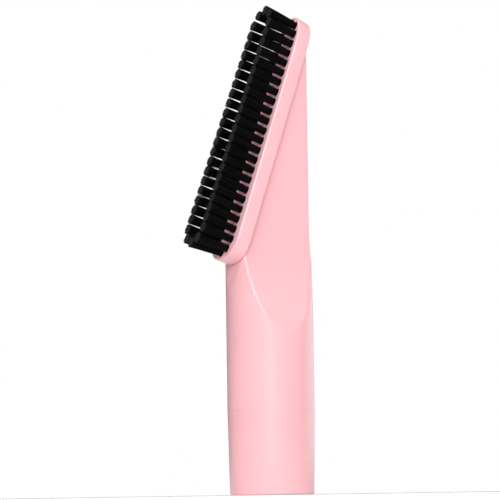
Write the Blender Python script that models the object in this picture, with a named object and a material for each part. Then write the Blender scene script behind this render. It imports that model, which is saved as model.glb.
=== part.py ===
"""Suction clothes brush: a moulded nozzle on a vacuum wand, whose slanted head carries bristle tufts.

The tube's axis is vertical, the mouth of the tube stands on Z = 0, and the bristles point to -X.
Lengths are in metres and angles in degrees.
"""

import math

import bmesh
import bpy
from mathutils import Vector

# Clearance kept between neighbouring pieces.
GAP = 0.0003

# The tube and the collar at its lower end.
TUBE_R = 0.0200
MOUTH_R = 0.01935
WALL = 0.0020
BORE_R = 0.0178
SEAM_Z = 0.0385
SOCKET_MOUTH_R = 0.0176
SOCKET_END_R = 0.0172
SOCKET_DEPTH = 0.0350
MOUTH_CHAMFER = 0.0006
AXIS_X = 0.0098

# The collar's neck turns in the body's bore, below an inward rib.
NECK_R = 0.0175
NECK_BORE_R = 0.0144
NECK_TIP_R = 0.0166
NECK_TOP_Z = 0.0545
RIB_BOTTOM_Z = 0.0478
RIB_TOP_Z = 0.0508
RIB_R = 0.0169

# The split ring that keeps the neck behind the rib.
RING_GROOVE_R = 0.0159
RING_GROOVE_BOTTOM_Z = 0.0511
RING_GROOVE_TOP_Z = 0.0530
RING_OUTER_R = 0.0174
RING_SPLIT_DEG = 20.0

# The seal ring round the neck.
SEAL_GROOVE_R = 0.0158
SEAL_GROOVE_BOTTOM_Z = 0.0415
SEAL_GROOVE_TOP_Z = 0.0439
SEAL_WIRE_R = 0.00075
SEAL_RING_R = 0.0169

# Above FLAT_START_Z the round tube thins to a slab of half thickness SLAB_HALF.
FLAT_START_Z = 0.0732
FLAT_RUN = 0.0520
SLAB_HALF = 0.0085
BACK_START_Z = 0.0750
BACK_RUN = 0.0180
BACK_X = 0.0174
BACK_ROUNDING = 0.0018
PROFILE_STEPS = 14
CORNER_STEPS = 7
BODY_CREASE = 13.5
BODY_TOP_Z = 0.2350

# How far outside the tube the slab's walls start, so that they meet it at a slant.
SIDE_LEAD = 0.0015

# The head's frame: X runs up the head, Z points out of its face along the bristles.
HEAD_TILT = 19.5
FACE_DISTANCE = 0.0598
RING_LOW = 0.1026
RING_HIGH = 0.2039
RING_HALF_WIDTH = 0.0062

# The brush plate is widest at its blunt lower end and slimmer at its upper end, whose back slants.
PLATE_LOW = 0.1039
PLATE_HIGH = 0.2000
PLATE_LOW_HALF_WIDTH = 0.0127
PLATE_HIGH_HALF_WIDTH = 0.0106
PLATE_LOW_END = 0.0109
PLATE_HIGH_END = 0.0134
PLATE_BLUNTNESS = 2.4
PLATE_THICKNESS = 0.0067
PLATE_ROUNDING = 0.0006
PLATE_BACK_ROUNDING = 0.0004
PLATE_SLANT = 0.0010
GASKET_THICKNESS = 0.0006
GASKET_HALF_WIDTH = 0.0081
GASKET_END = 0.0072
GASKET_HIGH = 0.1918
SPIGOT_HALF_WIDTH = 0.0061
SPIGOT_WALL = 0.0013
SPIGOT_DEPTH = 0.0040
SPIGOT_LOW = 0.1030
SPIGOT_HIGH = 0.1768
SLOT_HALF_WIDTH = 0.0029
SLOT_LOW = 0.1050
SLOT_HIGH = 0.1760
POCKET_RECESS = 0.0005

# Round the plate's lower end the nose of the body falls away from the plate's edge to the tube.
NOSE_REACH = 0.0250
NOSE_DROP = 0.0053

# The bristle tufts, set in blind holes.
TUFT_COUNT = 50
TUFT_LENGTH = 0.0161
TUFT_ROOT_R = 0.00170
TUFT_TIP_R = 0.00220
TUFT_SPLAY = 6.0
TUFT_END_SPLAY = 2.7
TUFT_BEND = 0.0004
TUFT_SIDES = 10
HOLE_R = 0.00200
HOLE_DEPTH = 0.0044

# Roundness of the turned and oval shapes.
ROUND_SIDES = 48
RING_SIDES = 34
SEAL_SIDES = 36
SEAL_WIRE_SIDES = 6
OVAL_STEPS = 12

# How far cutting tools reach past the surfaces they cut.
CUT_MARGIN = 0.004
CUT_FAR = 0.032
CUT_TOP_Z = BODY_TOP_Z + 0.010
HEAD_REACH = 0.120


def clear_scene():
    for thing in list(bpy.data.objects):
        bpy.data.objects.remove(thing, do_unlink=True)


def plastic(name, colour, roughness, metallic=0.0):
    material = bpy.data.materials.new(name)
    material.use_nodes = True
    shader = material.node_tree.nodes["Principled BSDF"]
    shader.inputs["Base Color"].default_value = (*colour, 1.0)
    shader.inputs["Roughness"].default_value = roughness
    shader.inputs["Metallic"].default_value = metallic
    material.diffuse_color = (*colour, 1.0)
    return material


def make_object(name, bm, material, parent):
    """Turns a finished bmesh into a named object under its parent empty."""
    bmesh.ops.recalc_face_normals(bm, faces=bm.faces)
    mesh = bpy.data.meshes.new(name)
    bm.to_mesh(mesh)
    bm.free()
    made = bpy.data.objects.new(name, mesh)
    bpy.context.collection.objects.link(made)
    made.parent = parent
    if material is not None:
        mesh.materials.append(material)
    return made


def shade_round(made, angle=30.0):
    made.data.shade_smooth()
    made.data.set_sharp_from_angle(angle=math.radians(angle))


def as_cutter(made):
    made.hide_render = True
    made.display_type = "WIRE"
    return made


def boolean(target, tool, operation="DIFFERENCE"):
    step = target.modifiers.new(tool.name, "BOOLEAN")
    step.operation = operation
    step.solver = "EXACT"
    step.object = tool


def extruded(outline, travel):
    """A closed prism: the outline, a list of 3-D points in one plane, swept along travel."""
    bm = bmesh.new()
    corners = [bm.verts.new(p) for p in outline]
    face = bm.faces.new(corners)
    swept = bmesh.ops.extrude_face_region(bm, geom=[face])
    moved = [v for v in swept["geom"] if isinstance(v, bmesh.types.BMVert)]
    bmesh.ops.translate(bm, verts=moved, vec=Vector(travel))
    return bm


def oval(low, high, half_width, low_end, high_end, level):
    """Straight sides from low to high along X, closed by half ellipses that reach the ends further."""
    points = []
    for centre, reach, start in ((high, high_end, -90.0), (low, -low_end, 90.0)):
        for step in range(OVAL_STEPS + 1):
            turn = math.radians(start + 180.0 * step / OVAL_STEPS)
            across = half_width * math.sin(turn)
            along = abs(math.cos(turn)) * reach
            points.append((centre + along, across, level))
    return points


def lofted(rings):
    """A closed solid through rings of equally many points, capped at both ends."""
    bm = bmesh.new()
    loops = [[bm.verts.new(p) for p in ring] for ring in rings]
    count = len(loops[0])
    for lower, upper in zip(loops, loops[1:]):
        for i in range(count):
            after = (i + 1) % count
            bm.faces.new((lower[i], lower[after], upper[after], upper[i]))
    bm.faces.new(list(reversed(loops[0])))
    bm.faces.new(loops[-1])
    return bm


def turned(profile, sides=ROUND_SIDES, sweep=360.0):
    """Spins a closed profile of (radius, height) points round Z, with end faces where it stays open."""
    bm = bmesh.new()
    corners = [bm.verts.new((r, 0.0, z)) for r, z in profile]
    outline = [bm.edges.new((a, b)) for a, b in zip(corners, corners[1:] + corners[:1])]
    whole = sweep >= 360.0
    if not whole:
        outline.append(bm.faces.new(corners))
    bmesh.ops.spin(
        bm,
        geom=corners + outline,
        axis=(0.0, 0.0, 1.0),
        cent=(0.0, 0.0, 0.0),
        angle=math.radians(sweep),
        steps=sides,
        use_merge=whole,
    )
    return bm


def solid_of_revolution(profile, sides=ROUND_SIDES):
    """A solid whose radius follows a profile of (radius, height) points, capped at both ends."""
    rings = []
    for radius, height in profile:
        turns = [2.0 * math.pi * side / sides for side in range(sides)]
        rings.append([(radius * math.cos(turn), radius * math.sin(turn), height) for turn in turns])
    return lofted(rings)


def eased(start, end, begin, run, z):
    """A size that starts a little larger, then eases from start to end over run, level at its end."""
    if z <= begin:
        return start + SIDE_LEAD * min(1.0, (begin - z) / CUT_MARGIN)
    share = min((z - begin) / run, 1.0)
    return end + (start - end) * (1.0 - math.sin(math.pi / 2.0 * share))


def slab_tool(name, inset, rounding, parent):
    """The space between the slab's two flats and in front of its round-cornered back, moved in by inset."""
    heights = [SEAM_Z - 2.0 * CUT_MARGIN, FLAT_START_Z - CUT_MARGIN]
    for step in range(PROFILE_STEPS + 1):
        heights.append(FLAT_START_Z + FLAT_RUN * step / PROFILE_STEPS)
    heights.append(CUT_TOP_Z)
    rings = []
    for z in heights:
        half = eased(TUBE_R, SLAB_HALF, FLAT_START_Z, FLAT_RUN, z) - inset
        back = eased(TUBE_R, BACK_X, BACK_START_Z, BACK_RUN, z) - inset
        ring = [(-CUT_FAR, half, z), (-CUT_FAR, -half, z)]
        for side, start in ((-1.0, -90.0), (1.0, 0.0)):
            for step in range(CORNER_STEPS + 1):
                turn = math.radians(start + 90.0 * step / CORNER_STEPS)
                x = back - rounding + rounding * math.cos(turn)
                ring.append((x, side * (half - rounding) + rounding * math.sin(turn), z))
        rings.append(ring)
    return as_cutter(make_object(name, lofted(rings), None, parent))


def front_cutter(parent):
    """The space in front of the body's slanted mouth, falling away round the edge of the plate."""
    mouth = -(PLATE_THICKNESS + GAP)
    rings = [
        plate_outline(mouth, 0.0, 0.0),
        plate_outline(mouth - NOSE_DROP, -NOSE_REACH, 0.0),
        plate_outline(HEAD_REACH, -NOSE_REACH, 0.0),
    ]
    return as_cutter(make_object("body_mouth_cutter", lofted(rings), None, parent))


def cavity(parent):
    """The air space inside the body, from the collar's neck up to the slanted mouth."""
    profile = [
        (BORE_R, SEAM_Z - CUT_MARGIN),
        (BORE_R, RIB_BOTTOM_Z),
        (RIB_R, RIB_BOTTOM_Z),
        (RIB_R, RIB_TOP_Z),
        (BORE_R, RIB_TOP_Z),
        (BORE_R, BODY_TOP_Z + CUT_MARGIN),
    ]
    space = make_object("cavity_cutter", solid_of_revolution(profile), None, parent)
    boolean(space, slab_tool("cavity_slab_tool", WALL, BACK_ROUNDING / 2.0, parent), "INTERSECT")
    return as_cutter(space)


def nozzle_body(material, frame, head):
    profile = [(TUBE_R, SEAM_Z + GAP), (TUBE_R, BODY_TOP_Z)]
    body = make_object("nozzle_body", solid_of_revolution(profile), material, frame)
    boolean(body, slab_tool("body_slab_tool", 0.0, BACK_ROUNDING, frame), "INTERSECT")
    boolean(body, cavity(frame))
    boolean(body, front_cutter(head))
    shade_round(body, BODY_CREASE)
    return body


def connector_collar(material, frame):
    """The collar that takes the vacuum wand, with the grooved neck on which the body turns."""
    profile = [
        (MOUTH_R - MOUTH_CHAMFER, 0.0),
        (MOUTH_R, MOUTH_CHAMFER),
        (TUBE_R, SEAM_Z),
        (NECK_R, SEAM_Z),
        (NECK_R, SEAL_GROOVE_BOTTOM_Z),
        (SEAL_GROOVE_R, SEAL_GROOVE_BOTTOM_Z),
        (SEAL_GROOVE_R, SEAL_GROOVE_TOP_Z),
        (NECK_R, SEAL_GROOVE_TOP_Z),
        (NECK_R, RIB_BOTTOM_Z - GAP),
        (NECK_TIP_R, RIB_BOTTOM_Z - GAP),
        (NECK_TIP_R, RING_GROOVE_BOTTOM_Z),
        (RING_GROOVE_R, RING_GROOVE_BOTTOM_Z),
        (RING_GROOVE_R, RING_GROOVE_TOP_Z),
        (NECK_TIP_R, RING_GROOVE_TOP_Z),
        (NECK_TIP_R, NECK_TOP_Z),
        (NECK_BORE_R, NECK_TOP_Z),
        (NECK_BORE_R, SOCKET_DEPTH),
        (SOCKET_END_R, SOCKET_DEPTH),
        (SOCKET_MOUTH_R, MOUTH_CHAMFER),
        (SOCKET_MOUTH_R + MOUTH_CHAMFER / 2.0, 0.0),
    ]
    collar = make_object("connector_collar", turned(profile), material, frame)
    shade_round(collar)
    return collar


def retaining_ring(material, frame):
    low = RING_GROOVE_BOTTOM_Z + GAP
    high = RING_GROOVE_TOP_Z - GAP
    inner = RING_GROOVE_R + GAP
    profile = [(inner, low), (RING_OUTER_R, low), (RING_OUTER_R, high), (inner, high)]
    solid = turned(profile, RING_SIDES, 360.0 - RING_SPLIT_DEG)
    ring = make_object("collar_retaining_ring", solid, material, frame)
    shade_round(ring)
    return ring


def seal_ring(material, frame):
    middle = (SEAL_GROOVE_BOTTOM_Z + SEAL_GROOVE_TOP_Z) / 2.0
    profile = []
    for side in range(SEAL_WIRE_SIDES):
        turn = 2.0 * math.pi * side / SEAL_WIRE_SIDES
        radius = SEAL_RING_R + SEAL_WIRE_R * math.cos(turn)
        profile.append((radius, middle + SEAL_WIRE_R * math.sin(turn)))
    ring = make_object("collar_seal_ring", turned(profile, SEAL_SIDES), material, frame)
    shade_round(ring, 70.0)
    return ring


def tuft_places():
    """Positions (x, y) and outward directions of the tufts, evenly round the ring from its top."""
    half = (RING_HIGH - RING_LOW) / 2.0
    arc = math.pi * RING_HALF_WIDTH
    around = 4.0 * half + 2.0 * arc
    places = []
    for tuft in range(TUFT_COUNT):
        travel = around * tuft / TUFT_COUNT - arc / 2.0
        if travel < 0.0 or travel > around - arc / 2.0 - 1e-9:
            turn = (travel if travel < 0.0 else travel - around) / RING_HALF_WIDTH
            outward = (-math.sin(turn), -math.cos(turn))
            centre = half
        elif travel < 2.0 * half:
            outward = (0.0, -1.0)
            centre = half - travel
        elif travel < 2.0 * half + arc:
            turn = (travel - 2.0 * half) / RING_HALF_WIDTH
            outward = (-math.sin(turn), -math.cos(turn))
            centre = -half
        elif travel < 4.0 * half + arc:
            outward = (0.0, 1.0)
            centre = travel - 3.0 * half - arc
        else:
            turn = (travel - 4.0 * half - arc) / RING_HALF_WIDTH
            outward = (math.sin(turn), math.cos(turn))
            centre = half
        place = (centre + RING_HALF_WIDTH * outward[0], RING_HALF_WIDTH * outward[1])
        places.append((place, outward))
    return places


def hole_cutter(head):
    """Blind holes for the tufts, in one cutter."""
    bm = bmesh.new()
    for (x, y), _ in tuft_places():
        made = bmesh.ops.create_cone(
            bm,
            cap_ends=True,
            segments=TUFT_SIDES,
            radius1=HOLE_R,
            radius2=HOLE_R,
            depth=2.0 * HOLE_DEPTH,
        )
        bmesh.ops.translate(bm, verts=made["verts"], vec=(x, y, 0.0))
    return as_cutter(make_object("tuft_hole_cutter", bm, None, head))


def shifted_oval(low, high, half_width, low_end, high_end, level):
    """An oval given by distances up the head, in the head's frame."""
    middle = (RING_LOW + RING_HIGH) / 2.0
    return oval(low - middle, high - middle, half_width, low_end, high_end, level)


def plate_outline(level, inset, slant):
    """The plate's outline in the head's frame, moved in by inset, its upper end shortened by slant."""
    middle = (RING_LOW + RING_HIGH) / 2.0
    ends = (
        (PLATE_HIGH, PLATE_HIGH_HALF_WIDTH, PLATE_HIGH_END - inset - slant, -90.0, 2.0),
        (PLATE_LOW, PLATE_LOW_HALF_WIDTH, inset - PLATE_LOW_END, 90.0, PLATE_BLUNTNESS),
    )
    points = []
    for centre, half_width, reach, start, bluntness in ends:
        for step in range(OVAL_STEPS + 1):
            turn = math.radians(start + 180.0 * step / OVAL_STEPS)
            along = abs(math.cos(turn)) ** (2.0 / bluntness) * reach
            across = math.copysign(abs(math.sin(turn)) ** (2.0 / bluntness), math.sin(turn))
            points.append((centre - middle + along, (half_width - inset) * across, level))
    return points


def plate_block():
    """The plate's solid shape: rounded front and back rims, the back of its upper end slanted."""
    rings = []
    for step in range(3):
        turn = math.pi / 4.0 * step
        inset = PLATE_BACK_ROUNDING * (1.0 - math.sin(turn))
        rise = PLATE_BACK_ROUNDING * (1.0 - math.cos(turn))
        rings.append(plate_outline(rise - PLATE_THICKNESS, inset, PLATE_SLANT))
    for step in range(3):
        turn = math.pi / 4.0 * step
        inset = PLATE_ROUNDING * (1.0 - math.cos(turn))
        rings.append(plate_outline(PLATE_ROUNDING * (math.sin(turn) - 1.0), inset, 0.0))
    return lofted(rings)


def brush_plate(material, head):
    """The plate, with a recess for its seal, tuft holes, suction slot and the spigot behind it."""
    plate = make_object("brush_plate", plate_block(), material, head)

    back = -PLATE_THICKNESS
    depth = GASKET_THICKNESS + GAP
    recess = shifted_oval(
        SPIGOT_LOW,
        GASKET_HIGH,
        GASKET_HALF_WIDTH + GAP,
        GASKET_END + GAP,
        GASKET_END + GAP,
        back - CUT_MARGIN,
    )
    recess_rise = (0.0, 0.0, CUT_MARGIN + depth)
    recess_solid = make_object("gasket_recess_cutter", extruded(recess, recess_rise), None, head)
    boolean(plate, as_cutter(recess_solid))

    below = back - SPIGOT_DEPTH
    spigot = shifted_oval(
        SPIGOT_LOW, SPIGOT_HIGH, SPIGOT_HALF_WIDTH, SPIGOT_HALF_WIDTH, SPIGOT_HALF_WIDTH, below
    )
    spigot_top = SPIGOT_DEPTH + PLATE_THICKNESS / 3.0
    spigot_solid = make_object("spigot_tool", extruded(spigot, (0.0, 0.0, spigot_top)), None, head)
    boolean(plate, as_cutter(spigot_solid), "UNION")

    inner = SPIGOT_HALF_WIDTH - SPIGOT_WALL
    pocket = shifted_oval(SPIGOT_LOW, SPIGOT_HIGH, inner, inner, inner, below - CUT_MARGIN)
    pocket_rise = (0.0, 0.0, SPIGOT_DEPTH + CUT_MARGIN + depth + POCKET_RECESS)
    pocket_solid = make_object("spigot_bore_cutter", extruded(pocket, pocket_rise), None, head)
    boolean(plate, as_cutter(pocket_solid))

    slot = shifted_oval(
        SLOT_LOW, SLOT_HIGH, SLOT_HALF_WIDTH, SLOT_HALF_WIDTH, SLOT_HALF_WIDTH, -2.0 * PLATE_THICKNESS
    )
    slot_rise = (0.0, 0.0, 3.0 * PLATE_THICKNESS)
    slot_solid = make_object("slot_cutter", extruded(slot, slot_rise), None, head)
    boolean(plate, as_cutter(slot_solid))
    boolean(plate, hole_cutter(head))
    shade_round(plate)
    return plate


def plate_gasket(material, head):
    """A thin seal between the plate and the body's mouth, open where the spigot passes."""
    bottom = -PLATE_THICKNESS
    outline = shifted_oval(
        SPIGOT_LOW, GASKET_HIGH, GASKET_HALF_WIDTH, GASKET_END, GASKET_END, bottom
    )
    gasket = make_object("plate_gasket", extruded(outline, (0.0, 0.0, GASKET_THICKNESS)), material, head)
    inner = SPIGOT_HALF_WIDTH + GAP
    hole = shifted_oval(SPIGOT_LOW, SPIGOT_HIGH, inner, inner, inner, bottom - CUT_MARGIN)
    tool = make_object("gasket_cutter", extruded(hole, (0.0, 0.0, 2.0 * CUT_MARGIN)), None, head)
    boolean(gasket, as_cutter(tool))
    return gasket


def bristle_tuft(name, outward, material, head):
    """One bundle: straight in its hole, then flaring and leaning outward to its cut tips."""
    root = -(HOLE_DEPTH - GAP)
    lean_along = outward[0] * TUFT_LENGTH * math.tan(math.radians(TUFT_END_SPLAY))
    lean_across = outward[1] * TUFT_LENGTH * math.tan(math.radians(TUFT_SPLAY))
    rings = (
        (root, TUFT_ROOT_R, 0.0),
        (TUFT_BEND, TUFT_ROOT_R, 0.0),
        (TUFT_LENGTH, TUFT_TIP_R, 1.0),
    )
    bm = bmesh.new()
    loops = []
    for level, radius, share in rings:
        loop = []
        for side in range(TUFT_SIDES):
            turn = 2.0 * math.pi * (side + 0.5) / TUFT_SIDES
            x = lean_along * share + radius * math.sin(turn)
            y = lean_across * share + radius * math.cos(turn)
            loop.append(bm.verts.new((x, y, level)))
        loops.append(loop)
    for lower, upper in zip(loops, loops[1:]):
        for side in range(TUFT_SIDES):
            after = (side + 1) % TUFT_SIDES
            bm.faces.new((lower[side], lower[after], upper[after], upper[side]))
    bm.faces.new(loops[0])
    bm.faces.new(list(reversed(loops[-1])))
    tuft = make_object(name, bm, material, head)
    shade_round(tuft)
    return tuft


def empty(name, parent=None):
    made = bpy.data.objects.new(name, None)
    bpy.context.collection.objects.link(made)
    made.parent = parent
    return made


def head_frame(frame):
    """The empty at the middle of the plate's face, on the line along which the head pulls off."""
    tilt = math.radians(HEAD_TILT)
    middle = (RING_LOW + RING_HIGH) / 2.0
    head = empty("head_frame", frame)
    head.location = (
        middle * math.sin(tilt) - FACE_DISTANCE * math.cos(tilt),
        0.0,
        middle * math.cos(tilt) + FACE_DISTANCE * math.sin(tilt),
    )
    head.rotation_euler = (0.0, tilt - math.pi / 2.0, 0.0)
    return head


def build():
    clear_scene()
    pink = plastic("pink_plastic", (0.91, 0.50, 0.56), 0.22)
    collar_pink = plastic("collar_plastic", (0.90, 0.49, 0.55), 0.24)
    plate_pink = plastic("plate_plastic", (0.91, 0.50, 0.56), 0.22)
    rubber = plastic("seal_rubber", (0.10, 0.08, 0.085), 0.7)
    spring_steel = plastic("ring_steel", (0.55, 0.56, 0.58), 0.3, 1.0)
    bristle = plastic("bristle_nylon", (0.012, 0.012, 0.013), 0.45)

    frame = empty("nozzle_frame")
    frame.location = (AXIS_X, 0.0, 0.0)
    head = head_frame(frame)

    nozzle_body(pink, frame, head)
    connector_collar(collar_pink, frame)
    retaining_ring(spring_steel, frame)
    seal_ring(rubber, frame)
    brush_plate(plate_pink, head)
    plate_gasket(rubber, head)
    for number, ((x, y), outward) in enumerate(tuft_places(), start=1):
        tuft = bristle_tuft(f"bristle_tuft_{number:02d}", outward, bristle, head)
        tuft.location = (x, y, 0.0)


build()
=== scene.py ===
"""The looks of the suction clothes brush: smooth moulded shells, tufts of single bristles, materials, light.

Lengths are in metres. The tube's axis is vertical and the bristles point to -X.
"""

import math
import random

import bmesh
import bpy
import numpy as np
from mathutils import Matrix, Vector


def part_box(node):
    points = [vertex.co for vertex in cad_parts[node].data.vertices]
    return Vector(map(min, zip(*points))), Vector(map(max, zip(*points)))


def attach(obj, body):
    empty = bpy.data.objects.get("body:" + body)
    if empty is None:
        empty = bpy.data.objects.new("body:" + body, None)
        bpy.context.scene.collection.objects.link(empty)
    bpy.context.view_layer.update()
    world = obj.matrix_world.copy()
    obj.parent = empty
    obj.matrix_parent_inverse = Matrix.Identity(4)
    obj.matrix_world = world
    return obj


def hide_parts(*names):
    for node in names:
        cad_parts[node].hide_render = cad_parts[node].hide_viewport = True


GAP = 0.0003
CLEAR = 0.0010

# Tube, collar and neck.
TUBE_R = 0.0200
MOUTH_R = 0.01935
WALL = 0.0020
BORE_R = 0.0178
SEAM_Z = 0.0385
SOCKET_MOUTH_R = 0.0176
SOCKET_END_R = 0.0172
SOCKET_DEPTH = 0.0350
NECK_R = 0.0175
NECK_BORE_R = 0.0144
NECK_TIP_R = 0.0166
NECK_TOP_Z = 0.0545
RIB_BOTTOM_Z = 0.0478
RIB_TOP_Z = 0.0508
RIB_R = 0.0169
RING_GROOVE_R = 0.0159
RING_GROOVE_Z = (0.0511, 0.0530)
SEAL_GROOVE_R = 0.0158
SEAL_GROOVE_Z = (0.0415, 0.0439)

# The slab above the tube.
FLAT_START_Z = 0.0732
FLAT_RUN = 0.0520
SLAB_HALF = 0.0085
BACK_START_Z = 0.0750
BACK_RUN = 0.0180
BACK_X = 0.0174
FLAT_FILLET = 0.0015
FLAT_END_FILLET = 0.0170
FLAT_END_Z = (0.0736, 0.0800)
LOW_BACK_FILLET = 0.0050
BACK_FILLET = 0.0018
BACK_FILLET_Z = (0.0960, 0.1080)
NOSE_FILLET = 0.0060
MOUTH_FILLET = 0.0004
TOP_FILLET = 0.00008
TOP_FILLET_Z = (0.1880, 0.1980)
SEAM_FILLET = 0.00006
SEAM_HAIR = 0.00002
BODY_TOP_Z = 0.2060
SIDE_FILLET_X = (-0.0020, 0.0100)
NOSE_FILLET_REACH = 0.0080
BORE_BACK_FILLET = 0.0020
BORE_SIDE_FILLET = 0.0015

# How finely the body's level sections are taken.
SECTION_DIRECTIONS = 1440
SECTION_REACH = 0.0450
SECTION_HALVINGS = 30
BEND_SPAN = 8
BEND_SHARE = 1.1
BODY_POINTS = 200
BORE_POINTS = 120

# The head: a runs up it, n points out of its face.
HEAD_TILT = math.radians(19.5)
FACE_DISTANCE = 0.0598
RING_LOW = 0.1026
RING_HIGH = 0.2039
RING_HALF_WIDTH = 0.0062
PLATE_LOW = 0.1039
PLATE_HIGH = 0.2000
PLATE_LOW_HALF_WIDTH = 0.0127
PLATE_HIGH_HALF_WIDTH = 0.0106
PLATE_LOW_END = 0.0109
PLATE_HIGH_END = 0.0134
PLATE_BLUNTNESS = 2.4
PLATE_THICKNESS = 0.0067
PLATE_SLANT = 0.0010
PLATE_BACK_ROUNDING = 0.0004
PLATE_FRONT_ROUNDING = 0.0008
GASKET_THICKNESS = 0.0006
GASKET_HALF_WIDTH = 0.0081
GASKET_END = 0.0072
GASKET_HIGH = 0.1918
SPIGOT_HALF_WIDTH = 0.0061
SPIGOT_WALL = 0.0013
SPIGOT_DEPTH = 0.0040
SPIGOT_ROUNDING = 0.0004
SPIGOT_LOW = 0.1030
SPIGOT_HIGH = 0.1768
SLOT_HALF_WIDTH = 0.0029
SLOT_LOW = 0.1050
SLOT_HIGH = 0.1760
SLOT_LIP = 0.0005
POCKET_RECESS = 0.0005
NOSE_SLOPE = 0.212
HEAD_MIDDLE = (RING_LOW + RING_HIGH) / 2.0
MOUTH_LEVEL = -(PLATE_THICKNESS + GAP)

# The tufts.
TUFT_COUNT = 50
TUFT_LENGTH = 0.0159
TIP_TILT = 0.0120
TUFT_SPLAY = math.radians(6.0)
TUFT_END_SPLAY = math.radians(2.7)
HOLE_R = 0.00200
HOLE_DEPTH = 0.0044
HOLE_LIP = 0.00035
HOLE_FLARE = 0.0002
HOLE_SIDES = 20
STRANDS = 160
STRAND_R = 0.00015
PACK_R = 0.00170
FAN_R = 0.00245
STRAND_SIDES = 5
STRAND_RINGS = 5
STRAND_TAPER = 0.12
STRAY_CHANCE = 0.10
STRAY_SPREAD = 1.10
TIP_WANDER = 0.00018
BOW = 0.00015

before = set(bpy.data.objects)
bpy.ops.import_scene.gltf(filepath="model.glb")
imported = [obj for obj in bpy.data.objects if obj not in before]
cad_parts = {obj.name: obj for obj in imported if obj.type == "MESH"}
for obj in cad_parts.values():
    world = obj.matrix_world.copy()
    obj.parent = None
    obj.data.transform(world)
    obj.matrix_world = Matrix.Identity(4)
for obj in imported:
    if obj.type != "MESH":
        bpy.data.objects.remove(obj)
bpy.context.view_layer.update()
low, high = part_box("connector_collar")
AXIS = Vector(((low.x + high.x) / 2.0, 0.0, 0.0))


# ---------------------------------------------------------------- node helpers


class Nodes:
    """A material's node tree, with short calls for the nodes that the finishes share."""

    def __init__(self, name):
        self.material = bpy.data.materials.new(name)
        self.material.use_nodes = True
        self.tree = self.material.node_tree
        self.shader = self.tree.nodes["Principled BSDF"]
        self.place = self.add("ShaderNodeTexCoord").outputs["Object"]

    def add(self, kind, **settings):
        node = self.tree.nodes.new(kind)
        for key, value in settings.items():
            setattr(node, key, value)
        return node

    def link(self, source, target):
        self.tree.links.new(source, target)

    def stretched(self, scale):
        mapping = self.add("ShaderNodeMapping")
        mapping.inputs["Scale"].default_value = scale
        self.link(self.place, mapping.inputs["Vector"])
        return mapping.outputs["Vector"]

    def noise(self, scale, detail=2.0, roughness=0.5, vector=None):
        node = self.add("ShaderNodeTexNoise")
        node.inputs["Scale"].default_value = scale
        node.inputs["Detail"].default_value = detail
        node.inputs["Roughness"].default_value = roughness
        self.link(vector or self.place, node.inputs["Vector"])
        return node.outputs["Fac"]

    def ramp(self, factor, stops):
        node = self.add("ShaderNodeValToRGB")
        ramp = node.color_ramp
        while len(ramp.elements) < len(stops):
            ramp.elements.new(0.5)
        for element, (position, colour) in zip(ramp.elements, stops):
            element.position = position
            element.color = (*colour, 1.0)
        self.link(factor, node.inputs["Fac"])
        return node.outputs["Color"]

    def span(self, factor, low, high, start=0.0, end=1.0):
        node = self.add("ShaderNodeMapRange")
        node.inputs["From Min"].default_value = start
        node.inputs["From Max"].default_value = end
        node.inputs["To Min"].default_value = low
        node.inputs["To Max"].default_value = high
        self.link(factor, node.inputs["Value"])
        return node.outputs["Result"]

    def mix(self, factor, first, second, blend="MIX"):
        node = self.add("ShaderNodeMix", data_type="RGBA", blend_type=blend)
        for socket, value in ((node.inputs[0], factor), (node.inputs[6], first), (node.inputs[7], second)):
            if isinstance(value, (int, float)):
                socket.default_value = value
            elif isinstance(value, tuple):
                socket.default_value = (*value, 1.0)
            else:
                self.link(value, socket)
        return node.outputs[2]

    def bump(self, height, strength, distance, normal=None):
        node = self.add("ShaderNodeBump")
        node.inputs["Strength"].default_value = strength
        node.inputs["Distance"].default_value = distance
        self.link(height, node.inputs["Height"])
        if normal is not None:
            self.link(normal, node.inputs["Normal"])
        return node.outputs["Normal"]

    def feed(self, name, source):
        self.link(source, self.shader.inputs[name])

    def fix(self, **values):
        for name, value in values.items():
            self.shader.inputs[name.replace("_", " ")].default_value = value


def moulded_plastic(name, colour, deep, pale):
    """Satin injection-moulded plastic: faint flow clouds, a very fine orange peel, a paler colour on sharp
    convex edges.
    """
    m = Nodes(name)
    clouds = m.noise(38.0, 3.0, 0.55)
    flow = m.noise(60.0, 1.0, 0.4, m.stretched((1.0, 1.0, 0.25)))
    tint = m.ramp(clouds, ((0.3, deep), (0.52, colour), (0.72, colour)))
    # Paler colour where the surface is sharply convex.
    edges = m.add("ShaderNodeNewGeometry").outputs["Pointiness"]
    edge_paling = m.span(edges, 0.0, 0.55, 0.53, 0.62)
    m.feed("Base Color", m.mix(edge_paling, tint, pale))
    m.feed("Roughness", m.span(flow, 0.28, 0.33, 0.2, 0.8))
    peel = m.noise(1100.0, 2.0, 0.5)
    swell = m.noise(170.0, 1.0, 0.4)
    m.feed("Normal", m.bump(peel, 0.10, 0.00003, m.bump(swell, 0.05, 0.00012)))
    m.fix(IOR=1.50, Coat_Weight=0.35, Coat_Roughness=0.16, Coat_IOR=1.5, Subsurface_Weight=0.06)
    m.shader.inputs["Subsurface Radius"].default_value = (0.0012, 0.0005, 0.0005)
    m.shader.inputs["Subsurface Scale"].default_value = 1.0
    return m.material


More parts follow.
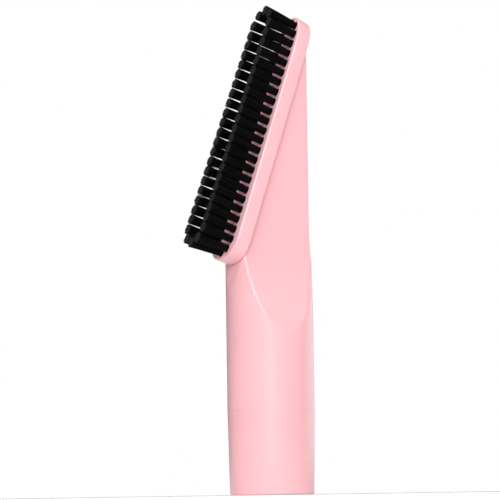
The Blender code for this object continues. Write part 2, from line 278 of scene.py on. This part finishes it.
def nylon(name):
    """Black filament: every strand a little lighter or darker, the cut ends greyer, partly their own paler
    cut and partly a painted highlight where the tips catch the light.
    """
    m = Nodes(name)
    shade = m.add("ShaderNodeAttribute", attribute_name="strand").outputs["Fac"]
    along = m.add("ShaderNodeAttribute", attribute_name="along").outputs["Fac"]
    black, middle, pale = (0.0004, 0.0004, 0.0005), (0.0012, 0.0012, 0.0013), (0.0035, 0.0032, 0.0032)
    base = m.ramp(shade, ((0.0, black), (0.6, middle), (1.0, pale)))
    # Painted highlight: the strands turn grey over their last few percent, where lit tips look grey, on top
    # of the cut ends' own paler look.
    cut = m.span(along, 0.0, 1.0, 0.955, 1.0)
    m.feed("Base Color", m.mix(cut, base, (0.032, 0.031, 0.032)))
    grain = m.noise(2600.0, 2.0, 0.6)
    m.feed("Roughness", m.span(grain, 0.34, 0.55, 0.3, 0.7))
    m.feed("Normal", m.bump(grain, 0.15, 0.00002))
    m.fix(IOR=1.53, Specular_IOR_Level=0.10)
    return m.material


def rubber(name, colour, pale):
    m = Nodes(name)
    cloud = m.noise(300.0, 3.0, 0.6)
    m.feed("Base Color", m.ramp(cloud, ((0.3, colour), (0.7, pale))))
    grain = m.noise(3000.0, 2.0, 0.6)
    m.feed("Roughness", m.span(grain, 0.58, 0.78, 0.3, 0.7))
    m.feed("Normal", m.bump(grain, 0.25, 0.00003))
    m.fix(IOR=1.50, Sheen_Weight=0.05)
    return m.material


def spring_steel(name):
    m = Nodes(name)
    drawn = m.noise(700.0, 3.0, 0.6, m.stretched((1.0, 1.0, 9.0)))
    m.feed("Base Color", m.ramp(drawn, ((0.3, (0.46, 0.47, 0.49)), (0.7, (0.64, 0.65, 0.67)))))
    m.feed("Roughness", m.span(drawn, 0.22, 0.40, 0.3, 0.7))
    m.feed("Normal", m.bump(drawn, 0.2, 0.00003))
    m.fix(Metallic=1.0)
    return m.material


# ---------------------------------------------------------------- mesh helpers


def place_object(name, bm, material, angle=38.0):
    bmesh.ops.recalc_face_normals(bm, faces=bm.faces)
    mesh = bpy.data.meshes.new(name)
    bm.to_mesh(mesh)
    bm.free()
    made = bpy.data.objects.new(name, mesh)
    bpy.context.scene.collection.objects.link(made)
    mesh.materials.append(material)
    mesh.shade_smooth()
    mesh.set_sharp_from_angle(angle=math.radians(angle))
    return made


def apply_booleans(target, steps, angle=38.0):
    """Cuts with or joins each tool in turn, then keeps only the result."""
    for tool, operation in steps:
        modifier = target.modifiers.new(tool.name, "BOOLEAN")
        modifier.operation = operation
        modifier.solver = "EXACT"
        modifier.object = tool
    bpy.context.view_layer.update()
    graph = bpy.context.evaluated_depsgraph_get()
    result = bpy.data.meshes.new_from_object(target.evaluated_get(graph))
    target.modifiers.clear()
    target.data = result
    for tool, _ in steps:
        bpy.data.objects.remove(tool, do_unlink=True)
    result.shade_smooth()
    result.set_sharp_from_angle(angle=math.radians(angle))
    return target


def lofted(rings):
    """A closed solid through rings of equally many points, capped at both ends."""
    bm = bmesh.new()
    loops = [[bm.verts.new(p) for p in ring] for ring in rings]
    count = len(loops[0])
    for lower, upper in zip(loops, loops[1:]):
        for i in range(count):
            j = (i + 1) % count
            bm.faces.new((lower[i], lower[j], upper[j], upper[i]))
    bm.faces.new(list(reversed(loops[0])))
    bm.faces.new(loops[-1])
    return bm


def turned_rings(profile, sides):
    """Rings about the tube's axis from (radius, height) points."""
    rings = []
    for radius, height in profile:
        ring = []
        for i in range(sides):
            turn = 2.0 * math.pi * i / sides
            ring.append((AXIS.x + radius * math.cos(turn), radius * math.sin(turn), height))
        rings.append(ring)
    return rings


def turned_shell(profile, sides):
    """A closed turned shell: the profile of (radius, height) points is itself a closed loop."""
    bm = bmesh.new()
    loops = [[bm.verts.new(p) for p in ring] for ring in turned_rings(profile, sides)]
    for lower, upper in zip(loops, loops[1:] + loops[:1]):
        for i in range(sides):
            j = (i + 1) % sides
            bm.faces.new((lower[i], lower[j], upper[j], upper[i]))
    return bm


def eased_corners(profile, radii):
    """Rounds each corner of a closed profile that has a radius, with five points."""
    done = []
    count = len(profile)
    for i, (corner, radius) in enumerate(zip(profile, radii)):
        here = Vector(corner)
        before = Vector(profile[i - 1]) - here
        after = Vector(profile[(i + 1) % count]) - here
        if radius <= 0.0:
            done.append(corner)
            continue
        reach = min(radius, before.length * 0.45, after.length * 0.45)
        start = here + before.normalized() * reach
        end = here + after.normalized() * reach
        for k in range(5):
            t = k / 4.0
            p = start * (1.0 - t) ** 2 + here * 2.0 * t * (1.0 - t) + end * t * t
            done.append((p.x, p.y))
    return done


# ---------------------------------------------------------------- the head's frame


def head_matrix():
    """Local X runs up the head from its middle, local Z is n."""
    up = Vector((math.sin(HEAD_TILT), 0.0, math.cos(HEAD_TILT)))
    out = Vector((-math.cos(HEAD_TILT), 0.0, math.sin(HEAD_TILT)))
    across = out.cross(up)
    m = Matrix((up, across, out)).transposed().to_4x4()
    m.translation = AXIS + up * HEAD_MIDDLE + out * FACE_DISTANCE
    return m


HEAD = head_matrix()


def on_head(points):
    return [tuple(HEAD @ Vector(p)) for p in points]


def oval(low, high, half_width, low_end, high_end, level, steps=28):
    """Straight sides between low and high, closed by half ellipses, in the head's frame."""
    points = []
    for centre, reach, start in ((high, high_end, -90.0), (low, -low_end, 90.0)):
        for i in range(steps + 1):
            turn = math.radians(start + 180.0 * i / steps)
            along = centre - HEAD_MIDDLE + abs(math.cos(turn)) * reach
            points.append((along, half_width * math.sin(turn), level))
    return points


def oval_loft(levels, low, high, half_width, low_end, high_end):
    """An oval solid whose (level, inset) entries shape its edges."""
    rings = []
    for level, inset in levels:
        ring = oval(low, high, half_width - inset, low_end - inset, high_end - inset, level)
        rings.append(on_head(ring))
    return lofted(rings)


def plate_outline(level, inset, slant, steps=40):
    """The plate's outline in the head's frame, moved in by inset, its upper end shortened by slant."""
    ends = (
        (PLATE_HIGH, PLATE_HIGH_HALF_WIDTH, PLATE_HIGH_END - inset - slant, -90.0, 2.0),
        (PLATE_LOW, PLATE_LOW_HALF_WIDTH, inset - PLATE_LOW_END, 90.0, PLATE_BLUNTNESS),
    )
    points = []
    for centre, half_width, reach, start, bluntness in ends:
        for i in range(steps + 1):
            turn = math.radians(start + 180.0 * i / steps)
            along = abs(math.cos(turn)) ** (2.0 / bluntness) * reach
            across = math.copysign(abs(math.sin(turn)) ** (2.0 / bluntness), math.sin(turn))
            points.append((centre - HEAD_MIDDLE + along, (half_width - inset) * across, level))
    return points


def rounded(level, sense, radius, steps=6):
    """(level, inset) points of a quarter round that ends at level, going up if sense is 1."""
    points = []
    for i in range(steps + 1):
        turn = math.pi / 2.0 * i / steps
        inset = radius * (1.0 - math.cos(turn))
        points.append((level - sense * radius * (1.0 - math.sin(turn)), inset))
    return points if sense > 0 else list(reversed(points))


# ---------------------------------------------------------------- the nozzle body


def eased(start, end, run, travelled):
    """A size easing from start to end over run. Before its start it grows on along the tangent."""
    share = np.clip(travelled / run, 0.0, 1.0)
    size = end + (start - end) * (1.0 - np.sin(math.pi / 2.0 * share))
    slope = (start - end) * math.pi / 2.0 / run
    size = np.where(travelled < 0.0, start - travelled * slope, size)
    steep = np.where(travelled < 0.0, -slope, -slope * np.cos(math.pi / 2.0 * share))
    return size, steep


def ramped(value, low, high):
    """0 below low, 1 above high, smooth between."""
    share = np.clip((value - low) / (high - low), 0.0, 1.0)
    return share * share * (3.0 - 2.0 * share)


def past_plate_end(up, y):
    """Distance outside the plate's outline at its lower end, with its slopes along up and y."""
    u = np.minimum(up - PLATE_LOW, -1e-7)
    power = PLATE_BLUNTNESS
    a = np.abs(u) / PLATE_LOW_END
    b = np.abs(y) / PLATE_LOW_HALF_WIDTH
    q = np.maximum((a**power + b**power) ** (1.0 / power), 1e-6)
    du = -((a / q) ** (power - 1.0)) / PLATE_LOW_END
    dy = np.sign(y) * (b / q) ** (power - 1.0) / PLATE_LOW_HALF_WIDTH
    steep = np.hypot(du, dy)
    past = (q - 1.0) / steep
    outside = past > 0.0
    return [np.where(outside, size, 0.0) for size in (past, du / steep, dy / steep)]


def blended(first, second, radius):
    """The rounded edge where two surfaces meet, each given as (distance, unit normal)."""
    a, na = first
    b, nb = second
    c = np.clip(np.sum(na * nb, axis=0), -0.9, 0.9999)
    u = a + radius
    v = b + radius
    span = 1.0 - c * c
    alpha = (u - c * v) / span
    beta = (v - c * u) / span
    inside = (alpha > 0.0) & (beta > 0.0)
    reach = np.sqrt(np.maximum(u * u + v * v - 2.0 * c * u * v, 0.0) / span)
    crisp = np.maximum(a, b)
    distance = np.where(inside, reach - radius, crisp)
    smooth = (alpha * na + beta * nb) / np.maximum(reach, 1e-9)
    normal = np.where(inside, smooth, np.where(a > b, na, nb))
    length = np.sqrt(np.sum(normal * normal, axis=0))
    return distance, normal / np.maximum(length, 1e-9)


def outer_distance(x, y, z):
    """How far a point is outside the body. x is measured from the tube's axis."""
    zero = np.zeros_like(x)
    radial = np.hypot(x, y)
    safe = np.maximum(radial, 1e-9)
    tube = (radial - TUBE_R, np.stack([x / safe, y / safe, zero]))
    back_x, back_slope = eased(TUBE_R, BACK_X, BACK_RUN, z - BACK_START_Z)
    scale = 1.0 / np.sqrt(1.0 + back_slope**2)
    back = ((x - back_x) * scale, np.stack([scale, zero, -back_slope * scale]))
    half, slope = eased(TUBE_R, SLAB_HALF, FLAT_RUN, z - FLAT_START_Z)
    scale = 1.0 / np.sqrt(1.0 + slope**2)
    sign = np.where(y < 0.0, -1.0, 1.0)
    side = ((np.abs(y) - half) * scale, np.stack([zero, sign * scale, -slope * scale]))
    up = x * math.sin(HEAD_TILT) + z * math.cos(HEAD_TILT)
    out = -x * math.cos(HEAD_TILT) + z * math.sin(HEAD_TILT) - FACE_DISTANCE
    past, past_up, past_y = past_plate_end(up, y)
    scale = 1.0 / math.sqrt(1.0 + NOSE_SLOPE**2)
    tilt_up, tilt_out = math.sin(HEAD_TILT), math.cos(HEAD_TILT)
    normal = np.stack(
        [
            -tilt_out + NOSE_SLOPE * past_up * tilt_up,
            NOSE_SLOPE * past_y,
            tilt_up + NOSE_SLOPE * past_up * tilt_out,
        ]
    )
    normal = normal / np.sqrt(np.sum(normal * normal, axis=0))
    level = out - MOUTH_LEVEL + NOSE_SLOPE * past
    mouth = (np.where(past > 0.0, level * scale, level), normal)
    bottom = (SEAM_Z + SEAM_HAIR - z, np.stack([zero, zero, zero - 1.0]))
    back_fillet = LOW_BACK_FILLET + (BACK_FILLET - LOW_BACK_FILLET) * ramped(z, *BACK_FILLET_Z)
    edge = FLAT_FILLET + (back_fillet - FLAT_FILLET) * ramped(x, *SIDE_FILLET_X)
    edge = edge + (FLAT_END_FILLET - edge) * (1.0 - ramped(z, *FLAT_END_Z))
    mouth_fillet = MOUTH_FILLET + (TOP_FILLET - MOUTH_FILLET) * ramped(z, *TOP_FILLET_Z)
    nose_fillet = mouth_fillet + (NOSE_FILLET - mouth_fillet) * ramped(past, 0.0, NOSE_FILLET_REACH)
    shape = blended(tube, back, back_fillet)
    shape = blended(shape, side, edge)
    shape = blended(shape, mouth, nose_fillet)
    shape = blended(shape, bottom, SEAM_FILLET)
    return shape[0]


def bore_distance(x, y, z):
    """How far a point is outside the air space in the body."""
    zero = np.zeros_like(x)
    radial = np.hypot(x, y)
    safe = np.maximum(radial, 1e-9)
    ribbed = (z > RIB_BOTTOM_Z) & (z < RIB_TOP_Z)
    tube = (radial - np.where(ribbed, RIB_R, BORE_R), np.stack([x / safe, y / safe, zero]))
    back_x, _ = eased(TUBE_R, BACK_X, BACK_RUN, z - BACK_START_Z)
    back = (x - back_x + WALL, np.stack([zero + 1.0, zero, zero]))
    half, _ = eased(TUBE_R, SLAB_HALF, FLAT_RUN, z - FLAT_START_Z)
    sign = np.where(y < 0.0, -1.0, 1.0)
    side = (np.abs(y) - half + WALL, np.stack([zero, sign, zero]))
    shape = blended(tube, back, BORE_BACK_FILLET)
    return blended(shape, side, BORE_SIDE_FILLET)[0]


def sections(distance, heights, centres, samples):
    """Rings where a distance function is zero, at each height, with more points where it bends."""
    fine = SECTION_DIRECTIONS
    turn = np.linspace(0.0, 2.0 * math.pi, fine, endpoint=False) + math.pi
    cos, sin = np.cos(turn)[None, :], np.sin(turn)[None, :]
    z = np.repeat(np.array(heights)[:, None], fine, axis=1)
    c = np.array(centres)[:, None]
    near = np.zeros_like(z)
    far = np.full_like(z, SECTION_REACH)
    for _ in range(SECTION_HALVINGS):
        middle = (near + far) / 2.0
        outside = distance(c + middle * cos, middle * sin, z) > 0.0
        far = np.where(outside, middle, far)
        near = np.where(outside, near, middle)
    x, y = c + near * cos, near * sin
    weights = []
    for px, py in zip(x, y):
        dx, dy = np.roll(px, -1) - px, np.roll(py, -1) - py
        step = np.hypot(dx, dy)
        heading = np.unwrap(np.arctan2(dy, dx))
        bend = np.abs(np.diff(np.concatenate([heading, heading[:1] + 2.0 * math.pi])))
        span = 2 * BEND_SPAN + 1
        bend = np.concatenate([bend[-BEND_SPAN:], bend, bend[:BEND_SPAN]])
        bend = np.convolve(bend, np.ones(span) / span, "same")[BEND_SPAN:-BEND_SPAN]
        weight = step / step.sum() + BEND_SHARE * bend / (2.0 * math.pi)
        weights.append((weight + np.roll(weight[::-1], -1)) / 2.0)
    rings = []
    for row in range(len(heights)):
        px, py = x[row], y[row]
        weight = sum(weights[max(0, row - 2) : row + 3])
        travelled = np.concatenate([[0.0], np.cumsum(weight)])
        wanted = np.linspace(0.0, travelled[-1], samples, endpoint=False)
        index = np.interp(wanted, travelled, np.arange(fine + 1))
        base = np.floor(index).astype(int)
        part = index - base
        first, second = base % fine, (base + 1) % fine
        qx = px[first] * (1.0 - part) + px[second] * part
        qy = py[first] * (1.0 - part) + py[second] * part
        rings.append([(AXIS.x + u, v, heights[row]) for u, v in zip(qx, qy)])
    return rings


def front_x(z):
    """Where the mouth's plane lies at a height, measured from the tube's axis."""
    return (z * math.sin(HEAD_TILT) - FACE_DISTANCE - MOUTH_LEVEL) / math.cos(HEAD_TILT)


def stepped(start, end, step):
    count = max(2, round((end - start) / step))
    return [start + (end - start) * i / count for i in range(count)]


def nozzle_body(material):
    low = SEAM_Z + SEAM_HAIR
    heights = [low + SEAM_FILLET * s for s in (0.0, 0.04, 0.15, 0.35, 0.65, 1.0, 1.6)]
    heights += stepped(low + 0.0012, 0.066, 0.003)
    heights += stepped(0.066, 0.132, 0.0007)
    heights += stepped(0.132, 0.200, 0.002)
    heights += stepped(0.200, BODY_TOP_Z, 0.0007) + [BODY_TOP_Z]
    centres = [(max(front_x(z), -TUBE_R) + BACK_X) / 2.0 for z in heights]
    rings = sections(outer_distance, heights, centres, BODY_POINTS)
    body = place_object("body_shell", lofted(rings), material)
    heights = [low - 0.004, RIB_BOTTOM_Z - 1e-5, RIB_BOTTOM_Z + 1e-5, RIB_TOP_Z - 1e-5, RIB_TOP_Z + 1e-5]
    heights += stepped(RIB_TOP_Z + 0.001, 0.070, 0.004) + stepped(0.070, 0.130, 0.002)
    heights += [0.130, 0.160, 0.190, 0.225]
    rings = sections(bore_distance, heights, [0.0] * len(heights), BORE_POINTS)
    space = place_object("body_space", lofted(rings), material)
    apply_booleans(body, [(space, "DIFFERENCE")])
    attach(body, "nozzle")
    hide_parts("nozzle_body")
    return body


# ---------------------------------------------------------------- the collar


def connector_collar(material):
    profile = [
        (MOUTH_R, 0.0),
        (TUBE_R, SEAM_Z),
        (NECK_R, SEAM_Z),
        (NECK_R, SEAL_GROOVE_Z[0]),
        (SEAL_GROOVE_R, SEAL_GROOVE_Z[0]),
        (SEAL_GROOVE_R, SEAL_GROOVE_Z[1]),
        (NECK_R, SEAL_GROOVE_Z[1]),
        (NECK_R, RIB_BOTTOM_Z - GAP),
        (NECK_TIP_R, RIB_BOTTOM_Z - GAP),
        (NECK_TIP_R, RING_GROOVE_Z[0]),
        (RING_GROOVE_R, RING_GROOVE_Z[0]),
        (RING_GROOVE_R, RING_GROOVE_Z[1]),
        (NECK_TIP_R, RING_GROOVE_Z[1]),
        (NECK_TIP_R, NECK_TOP_Z),
        (NECK_BORE_R, NECK_TOP_Z),
        (NECK_BORE_R, SOCKET_DEPTH),
        (SOCKET_END_R, SOCKET_DEPTH),
        (SOCKET_MOUTH_R, 0.0),
    ]
    small = 0.00015
    radii = [0.0009, 0.00006] + [small] * 11 + [0.0005, 0.0005, 0.0006, 0.0003, 0.0005]
    collar = place_object("collar_shell", turned_shell(eased_corners(profile, radii), 160), material)
    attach(collar, "collar")
    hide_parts("connector_collar")
    return collar


# ---------------------------------------------------------------- the brush plate


def tuft_places():
    """Places and outward directions of the tufts on the face, evenly round the ring from its top."""
    half = (RING_HIGH - RING_LOW) / 2.0
    arc = math.pi * RING_HALF_WIDTH
    around = 4.0 * half + 2.0 * arc
    places = []
    for tuft in range(TUFT_COUNT):
        travel = around * tuft / TUFT_COUNT - arc / 2.0
        if travel < 0.0 or travel > around - arc / 2.0 - 1e-9:
            turn = (travel if travel < 0.0 else travel - around) / RING_HALF_WIDTH
            outward = (-math.sin(turn), -math.cos(turn))
            centre = half
        elif travel < 2.0 * half:
            outward = (0.0, -1.0)
            centre = half - travel
        elif travel < 2.0 * half + arc:
            turn = (travel - 2.0 * half) / RING_HALF_WIDTH
            outward = (-math.sin(turn), -math.cos(turn))
            centre = -half
        elif travel < 4.0 * half + arc:
            outward = (0.0, 1.0)
            centre = travel - 3.0 * half - arc
        else:
            turn = (travel - 4.0 * half - arc) / RING_HALF_WIDTH
            outward = (math.sin(turn), math.cos(turn))
            centre = half
        place = (centre + RING_HALF_WIDTH * outward[0], RING_HALF_WIDTH * outward[1])
        places.append((place, outward))
    return places


def hole_tools(material):
    """The blind holes of the tufts, each with a small round lip, as one cutter."""
    bm = bmesh.new()
    sides = HOLE_SIDES
    profile = [(-HOLE_DEPTH, HOLE_R)]
    profile += [(-HOLE_LIP + HOLE_LIP * i / 3.0, HOLE_R + HOLE_FLARE * (i / 3.0) ** 2) for i in range(4)]
    profile += [(CLEAR, HOLE_R + 2.0 * HOLE_FLARE)]
    for (x, y), _ in tuft_places():
        loops = []
        for level, radius in profile:
            ring = []
            for i in range(sides):
                turn = 2.0 * math.pi * i / sides
                ring.append((x + radius * math.cos(turn), y + radius * math.sin(turn), level))
            loops.append([bm.verts.new(p) for p in on_head(ring)])
        for lower, upper in zip(loops, loops[1:]):
            for i in range(sides):
                j = (i + 1) % sides
                bm.faces.new((lower[i], lower[j], upper[j], upper[i]))
        bm.faces.new(list(reversed(loops[0])))
        bm.faces.new(loops[-1])
    return place_object("plate_holes", bm, material)


def brush_plate(material):
    rings = []
    for level, inset in rounded(-PLATE_THICKNESS, -1, PLATE_BACK_ROUNDING):
        rings.append(on_head(plate_outline(level, inset, PLATE_SLANT)))
    for level, inset in rounded(0.0, 1, PLATE_FRONT_ROUNDING):
        rings.append(on_head(plate_outline(level, inset, 0.0)))
    plate = place_object("plate_shell", lofted(rings), material)

    recess_top = GASKET_THICKNESS + GAP - PLATE_THICKNESS
    half = GASKET_HALF_WIDTH + GAP
    end = GASKET_END + GAP
    levels = [(-2.0 * PLATE_THICKNESS, 0.0), (recess_top, 0.0)]
    shape = oval_loft(levels, SPIGOT_LOW, GASKET_HIGH, half, end, end)
    recess = place_object("plate_recess", shape, material)

    half = SPIGOT_HALF_WIDTH
    below = -(PLATE_THICKNESS + SPIGOT_DEPTH)
    levels = rounded(below, -1, SPIGOT_ROUNDING, 4) + [(-PLATE_THICKNESS * 2.0 / 3.0, 0.0)]
    shape = oval_loft(levels, SPIGOT_LOW, SPIGOT_HIGH, half, half, half)
    spigot = place_object("plate_spigot", shape, material)

    half = SPIGOT_HALF_WIDTH - SPIGOT_WALL
    levels = [(below - 2.0 * CLEAR, 0.0), (POCKET_RECESS + recess_top, 0.0)]
    shape = oval_loft(levels, SPIGOT_LOW, SPIGOT_HIGH, half, half, half)
    pocket = place_object("plate_pocket", shape, material)

    half = SLOT_HALF_WIDTH
    levels = [(-2.0 * PLATE_THICKNESS, 0.0), (-SLOT_LIP, 0.0)]
    for i in range(1, 5):
        widening = SLOT_LIP * (1.0 - math.cos(math.pi / 2.0 * i / 4.0))
        levels.append((-SLOT_LIP + SLOT_LIP * i / 4.0, -widening))
    levels.append((CLEAR, -SLOT_LIP - CLEAR))
    shape = oval_loft(levels, SLOT_LOW, SLOT_HIGH, half, half, half)
    slot = place_object("plate_slot", shape, material)

    holes = hole_tools(material)
    steps = [
        (recess, "DIFFERENCE"),
        (spigot, "UNION"),
        (pocket, "DIFFERENCE"),
        (slot, "DIFFERENCE"),
        (holes, "DIFFERENCE"),
    ]
    apply_booleans(plate, steps)
    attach(plate, "brush_head")
    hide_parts("brush_plate")
    return plate


# ---------------------------------------------------------------- the tufts


def bristle_tuft(number, place, outward, material):
    """A bundle of single bristles: packed in its hole, flaring to tips cut on a leaning plane."""
    rng = random.Random(1000 + number)
    points, faces, shades, alongs = [], [], [], []
    golden = math.pi * (3.0 - math.sqrt(5.0))
    root = -(HOLE_DEPTH - GAP)
    lean_up = outward[0] * TUFT_LENGTH * math.tan(TUFT_END_SPLAY)
    lean_across = outward[1] * TUFT_LENGTH * math.tan(TUFT_SPLAY)
    for strand in range(STRANDS):
        share = math.sqrt((strand + 0.5) / STRANDS)
        turn = strand * golden + number
        pack = (PACK_R - STRAND_R) * share
        fan = (FAN_R - STRAND_R) * share * rng.uniform(0.93, 1.0)
        stray = 1.0 if rng.random() > STRAY_CHANCE else STRAY_SPREAD
        wide = rng.uniform(-TIP_WANDER, TIP_WANDER), rng.uniform(-TIP_WANDER, TIP_WANDER)
        top = TUFT_LENGTH - TIP_TILT * place[0] + rng.uniform(-0.0002, 0.0001)
        shade = rng.random()
        bow = rng.uniform(-BOW, BOW), rng.uniform(-BOW, BOW)
        first = len(points)
        for ring in range(STRAND_RINGS):
            t = ring / (STRAND_RINGS - 1.0)
            level = root + (top - root) * t
            free = max(0.0, level) / TUFT_LENGTH
            spread = pack + (fan * stray - pack) * free
            curl = math.sin(math.pi * free)
            x = spread * math.cos(turn) + wide[0] * free + bow[0] * curl
            y = spread * math.sin(turn) + wide[1] * free + bow[1] * curl
            x += lean_up * free
            y += lean_across * free
            radius = STRAND_R * (1.0 - STRAND_TAPER * free)
            for corner in range(STRAND_SIDES):
                angle = 2.0 * math.pi * corner / STRAND_SIDES + turn
                px = place[0] + x + radius * math.cos(angle)
                py = place[1] + y + radius * math.sin(angle)
                points.append((px, py, level))
                shades.append(shade)
                alongs.append(t)
        for ring in range(STRAND_RINGS - 1):
            for corner in range(STRAND_SIDES):
                after = (corner + 1) % STRAND_SIDES
                a = first + ring * STRAND_SIDES
                faces.append((a + corner, a + after, a + STRAND_SIDES + after, a + STRAND_SIDES + corner))
        faces.append(tuple(first + corner for corner in reversed(range(STRAND_SIDES))))
        last = first + (STRAND_RINGS - 1) * STRAND_SIDES
        faces.append(tuple(last + corner for corner in range(STRAND_SIDES)))
    mesh = bpy.data.meshes.new(f"tuft_{number:02d}")
    mesh.from_pydata(on_head(points), [], faces)
    for name, values in (("strand", shades), ("along", alongs)):
        layer = mesh.attributes.new(name, "FLOAT", "POINT")
        layer.data.foreach_set("value", np.array(values, np.float32))
    mesh.materials.append(material)
    mesh.shade_smooth()
    mesh.set_sharp_from_angle(angle=math.radians(75.0))
    tuft = bpy.data.objects.new(f"tuft_{number:02d}", mesh)
    bpy.context.scene.collection.objects.link(tuft)
    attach(tuft, "brush_head")
    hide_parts(f"bristle_tuft_{number:02d}")
    return tuft


# ---------------------------------------------------------------- camera, floor and light


CAMERA_AZIMUTH = math.radians(27.0)
CAMERA_DISTANCE = 1.7
CAMERA_ROLL = math.radians(0.87)
AIM_HEIGHT = 0.112
LENS = 266.2
SHIFT = (-0.03722, 0.00202)
LAMP_AIM_HEIGHT = 0.11
FLOOR_HALF = 6.0


def camera():
    from_object = Vector((-math.sin(CAMERA_AZIMUTH), -math.cos(CAMERA_AZIMUTH), 0.0))
    place = AXIS + from_object * CAMERA_DISTANCE
    aim = AXIS + Vector((0.0, 0.0, AIM_HEIGHT))
    forward = (aim - place).normalized()
    right = Vector((math.cos(CAMERA_AZIMUTH), -math.sin(CAMERA_AZIMUTH), 0.0))
    up = right.cross(forward)
    level_right = right * math.cos(CAMERA_ROLL) - up * math.sin(CAMERA_ROLL)
    level_up = right * math.sin(CAMERA_ROLL) + up * math.cos(CAMERA_ROLL)
    matrix = Matrix((level_right, level_up, -forward)).transposed().to_4x4()
    matrix.translation = place
    data = bpy.data.cameras.new("camera")
    data.sensor_width = 36.0
    data.lens = LENS
    data.shift_x, data.shift_y = SHIFT
    data.clip_start = 0.01
    made = bpy.data.objects.new("camera", data)
    made.matrix_world = matrix
    bpy.context.scene.collection.objects.link(made)
    bpy.context.scene.camera = made


def softbox(name, azimuth, elevation, distance, width, height, power):
    """A rectangular lamp that faces the brush. Its azimuth is measured from the camera's side."""
    turn = CAMERA_AZIMUTH + math.radians(azimuth)
    rise = math.radians(elevation)
    towards = Vector((-math.sin(turn) * math.cos(rise), -math.cos(turn) * math.cos(rise), math.sin(rise)))
    data = bpy.data.lights.new(name, "AREA")
    data.shape = "RECTANGLE"
    data.size = width
    data.size_y = height
    data.energy = power
    made = bpy.data.objects.new(name, data)
    made.location = AXIS + Vector((0.0, 0.0, LAMP_AIM_HEIGHT)) + towards * distance
    made.rotation_euler = (-towards).to_track_quat("-Z", "Y").to_euler()
    bpy.context.scene.collection.objects.link(made)


def floor():
    m = Nodes("floor_paper")
    grain = m.noise(60.0, 4.0, 0.6)
    m.feed("Base Color", m.ramp(grain, ((0.3, (0.88, 0.88, 0.88)), (0.7, (0.91, 0.91, 0.91)))))
    m.feed("Normal", m.bump(grain, 0.05, 0.0002))
    m.fix(Roughness=0.85)
    mesh = bpy.data.meshes.new("floor")
    corners = [(FLOOR_HALF * i, FLOOR_HALF * j, 0.0) for i, j in ((-1, -1), (1, -1), (1, 1), (-1, 1))]
    mesh.from_pydata(corners, [], [(0, 1, 2, 3)])
    mesh.materials.append(m.material)
    made = bpy.data.objects.new("floor", mesh)
    made.location.z = -GAP
    bpy.context.scene.collection.objects.link(made)


def studio():
    """White all round to the eye, and a softer, even white for the light it gives."""
    scene = bpy.context.scene
    world = bpy.data.worlds.new("studio")
    world.use_nodes = True
    tree = world.node_tree
    tree.nodes.clear()
    seen = tree.nodes.new("ShaderNodeBackground")
    seen.inputs["Color"].default_value = (1.0, 1.0, 1.0, 1.0)
    seen.inputs["Strength"].default_value = 1.0
    lit = tree.nodes.new("ShaderNodeBackground")
    direction = tree.nodes.new("ShaderNodeTexCoord")
    across = tree.nodes.new("ShaderNodeVectorMath")
    across.operation = "DOT_PRODUCT"
    across.inputs[1].default_value = (math.cos(CAMERA_AZIMUTH), -math.sin(CAMERA_AZIMUTH), 0.0)
    level = tree.nodes.new("ShaderNodeMapRange")
    level.inputs["From Min"].default_value = -1.0
    level.inputs["To Min"].default_value = 0.22
    level.inputs["To Max"].default_value = 0.26
    tree.links.new(direction.outputs["Generated"], across.inputs[0])
    tree.links.new(across.outputs["Value"], level.inputs["Value"])
    tree.links.new(level.outputs["Result"], lit.inputs["Strength"])
    path = tree.nodes.new("ShaderNodeLightPath")
    mix = tree.nodes.new("ShaderNodeMixShader")
    out = tree.nodes.new("ShaderNodeOutputWorld")
    tree.links.new(path.outputs["Is Camera Ray"], mix.inputs["Fac"])
    tree.links.new(lit.outputs["Background"], mix.inputs[1])
    tree.links.new(seen.outputs["Background"], mix.inputs[2])
    tree.links.new(mix.outputs["Shader"], out.inputs["Surface"])
    scene.world = world
    scene.view_settings.view_transform = "Standard"
    scene.view_settings.look = "None"
    softbox("main_box", 0.0, 29.0, 2.4, 2.4, 1.0, 48.0)
    softbox("low_box", 0.0, 6.0, 2.2, 1.1, 0.7, 3.2)
    softbox("top_box", 50.0, 76.0, 2.2, 1.0, 1.0, 23.0)
    softbox("edge_box", -133.0, 5.0, 1.8, 1.9, 1.4, 11.0)


# ---------------------------------------------------------------- the model


def build():
    colours = (0.93, 0.49, 0.525), (0.915, 0.475, 0.51), (0.94, 0.55, 0.59)
    collar_colours = (0.925, 0.485, 0.52), (0.91, 0.47, 0.505), (0.935, 0.545, 0.58)
    pink = moulded_plastic("pink_moulding", *colours)
    collar_pink = moulded_plastic("collar_moulding", *collar_colours)
    plate_pink = moulded_plastic("plate_moulding", *colours)
    black = nylon("black_nylon")
    dark_rubber = rubber("seal_rubber_finish", (0.075, 0.060, 0.064), (0.11, 0.09, 0.095))
    steel = spring_steel("spring_steel_finish")

    nozzle_body(pink)
    connector_collar(collar_pink)
    brush_plate(plate_pink)
    for number, (place, outward) in enumerate(tuft_places(), start=1):
        bristle_tuft(number, place, outward, black)
    for node, material in (
        ("plate_gasket", dark_rubber),
        ("collar_seal_ring", dark_rubber),
        ("collar_retaining_ring", steel),
    ):
        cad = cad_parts[node]
        cad.data.materials.clear()
        cad.data.materials.append(material)
    camera()
    floor()
    studio()


build()
